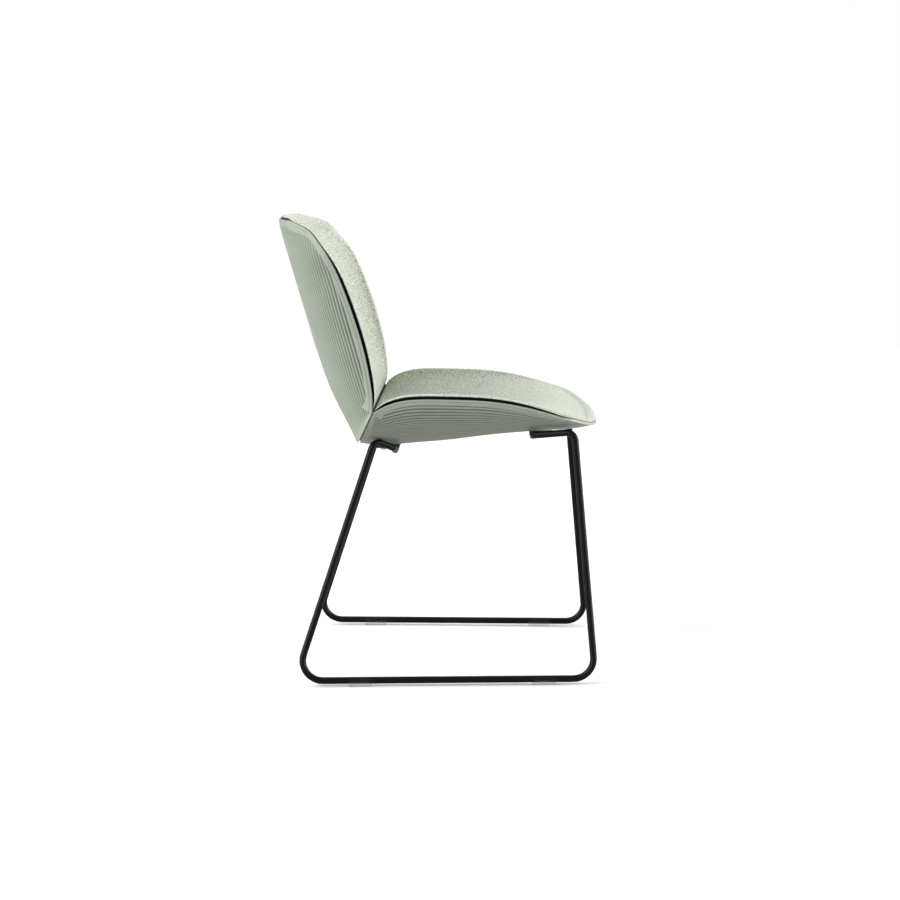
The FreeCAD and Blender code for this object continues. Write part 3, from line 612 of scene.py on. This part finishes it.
def pad_roll(leaf, style):
    """Rings round the pad's edge, from the hidden backing out to the edge, over its crest and in to the bowl:
    rim + inward * b + rise * h. b and h follow quarter circles, and change smoothly towards the tip."""
    sides, step, share = rim_path(leaf, leaf.length, PAD_SIDE_POINTS, PAD_TIP_POINTS)
    points = leaf.outer(step, share)
    _, rise, *_ = leaf.section(step)
    inward = unit(np.cross(path_tangent(points), rise))
    inward *= np.sign((inward * (points.mean(0) - points)).sum(-1))[:, None]
    nose = smoothstep(leaf.length - NOSE_START, leaf.length - NOSE_END, step)
    place = {key: body + (tip - body) * nose for key, (body, tip) in style.items()}
    rings = []
    for a in np.linspace(0, 1, TUCK_RINGS)[:-1]:
        rings.append((place["tuck_b"] + (place["edge_b"] - place["tuck_b"]) * a,
                      place["tuck_h"] + (place["edge_h"] - place["tuck_h"]) * a ** TUCK_BELLY))
    for a in np.linspace(0, np.pi / 2, EDGE_RINGS):
        rings.append((place["crest_b"] - (place["crest_b"] - place["edge_b"]) * np.cos(a),
                      place["edge_h"] + (place["crest_h"] - place["edge_h"]) * np.sin(a)))
    for a in np.linspace(0, np.pi / 2, CREST_RINGS)[1:]:
        rings.append((place["crest_b"] + (place["inner_b"] - place["crest_b"]) * np.sin(a),
                      place["inner_h"] + (place["crest_h"] - place["inner_h"]) * np.cos(a)))
    roll = np.stack([points + inward * b[:, None] + rise * h[:, None] for b, h in rings], 1)
    return roll, sides, step


def pad_bowl(leaf, steps, rim_line, tip_line, depth_share, crown, v):
    """Base + (rim - base)(1 - cos tv)/(1 - cos t) + Y * y sin tv/sin t, crowned by c(1 - v^4) and led
    to the tip line over the last millimetres."""
    keel, rise, *_ = leaf.section(steps)
    tangent = path_tangent(keel)
    plane = rim_line * IN_PLANE
    gap = plane - leaf.outer(steps, leaf.cap(steps, leaf.length)) * IN_PLANE
    slide = (gap * tangent).sum(-1) - (gap * rise).sum(-1) * (rise * tangent).sum(-1)
    keel, rise, _, _, turn, depth = leaf.section(np.clip(steps + slide, 0, leaf.length))
    base = keel + rise * (depth * depth_share - crown)[:, None]
    climb = (1 - np.cos(turn[:, None] * v)) / (1 - np.cos(turn[:, None]))
    side = np.sin(turn[:, None] * v) / np.sin(turn[:, None])
    grid = base[:, None] + (plane - base)[:, None] * climb[..., None]
    grid = grid + Y_AXIS * (rim_line[:, 1:2] * side)[..., None]
    grid = grid + rise[:, None] * (crown[:, None] * (1 - v ** 4))[..., None]
    pull = smoothstep(leaf.length - TIP_LEAD, leaf.length, steps)[:, None, None] ** TIP_EASE
    return grid + (tip_line[None] - grid[-1][None]) * pull


def pad_grids(leaf, style):
    """Roll, top, underside and joint end of a pad. Over the last millimetres before the joint the roll
    shrinks, and the top sinks, by R - sqrt(R^2 - x^2) for a distance x past the start of the round. The
    joint end swells by S sin(pi s)(1 - |v|^20), with s from 0 at its top to 1 at its underside."""
    roll, sides, step = pad_roll(leaf, style)
    steps = step[:sides]
    tip_rows = slice(sides - 1, len(roll) - sides + 1)
    v = np.linspace(1, -1, tip_rows.stop - tip_rows.start)
    crown = CROWN_SHARE * leaf.section(steps)[5]
    top = pad_bowl(leaf, steps, roll[:sides, -1], roll[tip_rows, -1], 1.0, crown, v)
    under = pad_bowl(leaf, steps, roll[:sides, 0], roll[tip_rows, 0], BACKING_SHARE, crown * 0, v)
    past = JOINT_ROUND - np.minimum(step, JOINT_ROUND)
    drop = JOINT_ROUND - np.sqrt(JOINT_ROUND ** 2 - past ** 2)
    middle = (roll[:, :1] + roll[:, TUCK_RINGS - 1:TUCK_RINGS]) / 2
    rounded = middle + (roll - middle) * (1 - drop / EDGE_THICKNESS)[:, None, None]
    mirror = np.stack((np.ones_like(v), np.sign(v + 1e-9), np.ones_like(v)), -1)
    inside = smoothstep(0.0, RIM_BLEND, 1 - np.abs(v))[None, :, None]
    edge_move = (rounded - roll)[:sides]
    sunk = unit(top - under) * drop[:sides, None, None]
    top = top - sunk * inside + edge_move[:, None, -1] * mirror * (1 - inside)
    under = under + edge_move[:, None, 0] * mirror * (1 - inside)
    outward = unit(top[0] - top[1])
    shares = np.linspace(0, 1, JOINT_RINGS)[:, None, None]
    swell = JOINT_SWELL * np.sin(np.pi * shares) * (1 - np.abs(v) ** 20)[None, :, None]
    joint_end = top[0] * (1 - shares) + under[0] * shares + outward * swell
    felt_part, backing_and_gap_shade = 0, 1
    # Painted shade: the tuck band, seen in the gap between lip and pad, takes the black backing plastic,
    # which stands for the deep shade of that gap as well as for the backing.
    grids = [(rounded[:, :TUCK_RINGS], backing_and_gap_shade), (rounded[:, TUCK_RINGS - 1:], felt_part),
             (top, felt_part), (under, backing_and_gap_shade), (joint_end, felt_part)]
    for ring in (rounded[0], rounded[-1]):
        grids.append((np.stack((ring, np.repeat(ring[-1:], len(ring), 0))), felt_part))
    return grids


def wool_felt():
    """Melange felt: flecks of darker and lighter yarn a millimetre or two long, and a short raised nap."""
    felt = Finish("felt_sage", (0.44, 0.49, 0.38), 0.95,
                  Sheen_Weight=0.25, Sheen_Roughness=0.5, Specular_IOR_Level=0.15)
    long_flecks = felt.noise(scale=330.0, detail=3.0, turn=(0.3, 0.2, 0.5), stretch=(1.0, 2.2, 1.5))
    cross_flecks = felt.noise(scale=400.0, detail=3.0, turn=(1.2, 0.7, 2.1), stretch=(1.2, 2.4, 1.7))
    total = felt.node("ShaderNodeMath", operation="ADD")
    felt.link(long_flecks, total.inputs[0])
    felt.link(cross_flecks, total.inputs[1])
    yarn = felt.node("ShaderNodeMath", operation="MULTIPLY")
    felt.link(total.outputs[0], yarn.inputs[0])
    yarn.inputs[1].default_value = 0.5
    felt.colour(yarn.outputs[0], (0.41, (0.190, 0.220, 0.150)), (0.47, (0.385, 0.425, 0.335)),
                (0.53, (0.495, 0.530, 0.455)), (0.60, (0.74, 0.76, 0.70)))
    raised = felt.node("ShaderNodeMath", operation="ADD")
    felt.link(felt.noise(scale=1000.0, detail=4.0), raised.inputs[0])
    felt.link(yarn.outputs[0], raised.inputs[1])
    felt.bump(raised.outputs[0], strength=0.45, distance=0.0005)
    return felt.material


FELT = wool_felt()
for part, leaf, style in (("seat", SEAT, SEAT_STYLE), ("back", BACK, BACK_STYLE)):
    pad = grids_object(part + "_pad", pad_grids(leaf, style), [FELT, PANEL_PLASTIC], 50.0)
    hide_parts(part + "_cover", part + "_foam")

# White studio. The floor is pale and catches the shadows, and is dimmer to light that bounces off it. The
# world is white to the camera and faint as light, and broad lamps shine from before, behind and above.

FLOOR_HALF = 6.0


def by_camera(tree, other_rays, camera_rays, output):
    """Mixes two shaders so that the camera sees one and every other ray meets the other."""
    path = tree.nodes.new("ShaderNodeLightPath")
    mix = tree.nodes.new("ShaderNodeMixShader")
    tree.links.new(path.outputs["Is Camera Ray"], mix.inputs["Fac"])
    tree.links.new(other_rays.outputs[0], mix.inputs[1])
    tree.links.new(camera_rays.outputs[0], mix.inputs[2])
    tree.links.new(mix.outputs[0], output.inputs["Surface"])


floor_white = Finish("floor_white", (0.95, 0.95, 0.95), 0.9, Specular_IOR_Level=0.0)
floor_dim = floor_white.node("ShaderNodeBsdfDiffuse", Color=(0.48, 0.48, 0.48, 1))
by_camera(floor_white.tree, floor_dim, floor_white.shader, floor_white.tree.nodes["Material Output"])
floor_mesh = bpy.data.meshes.new("floor")
floor_mesh.from_pydata([(x * FLOOR_HALF, y * FLOOR_HALF, 0) for x, y in ((-1, -1), (1, -1), (1, 1), (-1, 1))],
                       [], [(0, 1, 2, 3)])
floor_mesh.materials.append(floor_white.material)
floor = bpy.data.objects.new("floor", floor_mesh)
bpy.context.scene.collection.objects.link(floor)

world = bpy.data.worlds.new("studio")
bpy.context.scene.world = world
world.use_nodes = True
sky = world.node_tree
sky.nodes.clear()
backgrounds = []
for strength in (0.2, 1.0):
    background = sky.nodes.new("ShaderNodeBackground")
    background.inputs["Color"].default_value = (1, 1, 1, 1)
    background.inputs["Strength"].default_value = strength
    backgrounds.append(background)
by_camera(sky, *backgrounds, sky.nodes.new("ShaderNodeOutputWorld"))


def broad_lamp(name, towards, strength, spread):
    """Distant lamp that shines from a direction, as wide as spread in degrees."""
    lamp = bpy.data.lights.new(name, "SUN")
    lamp.energy = strength
    lamp.angle = math.radians(spread)
    thing = bpy.data.objects.new(name, lamp)
    bpy.context.scene.collection.objects.link(thing)
    thing.rotation_euler = Vector(towards).to_track_quat("Z", "Y").to_euler()


broad_lamp("lamp_front", (1.0, 0.0, 0.12), strength=4.8, spread=50)
broad_lamp("lamp_rear", (-1.0, -0.45, 0.60), strength=3.8, spread=60)
broad_lamp("lamp_top", (0.15, 0.6, 1.0), strength=1.2, spread=80)

# Camera at the photograph's angle, about 4.1 m to the sitter's right and 0.95 m above the floor, level but
# for a slight roll, with a long lens. It looks a little down and back.

CAMERA_PLACE = Vector(((108.5 + CAD_SHIFT) * MM, -4.112, 0.950))
YAW, PITCH, ROLL = math.radians(-1.201), math.radians(7.904), math.radians(-0.260)
FOCAL_PIXELS = 2278.0
PICTURE_PIXELS = 900.0
SENSOR_WIDTH = 36.0

ahead = Vector((math.sin(YAW) * math.cos(PITCH), math.cos(YAW) * math.cos(PITCH), -math.sin(PITCH)))
level = Vector((math.cos(YAW), -math.sin(YAW), 0))
above = level.cross(ahead)
right = math.cos(ROLL) * level + math.sin(ROLL) * above
up = math.cos(ROLL) * above - math.sin(ROLL) * level
turn = Matrix((right, up, -ahead)).transposed().to_4x4()
camera = bpy.data.objects.new("camera", bpy.data.cameras.new("camera"))
bpy.context.scene.collection.objects.link(camera)
camera.matrix_world = Matrix.Translation(CAMERA_PLACE) @ turn
camera.data.sensor_width = SENSOR_WIDTH
camera.data.lens = FOCAL_PIXELS / PICTURE_PIXELS * SENSOR_WIDTH
camera.data.clip_end = 50.0
bpy.context.scene.camera = camera
bpy.context.scene.view_settings.view_transform = "Standard"
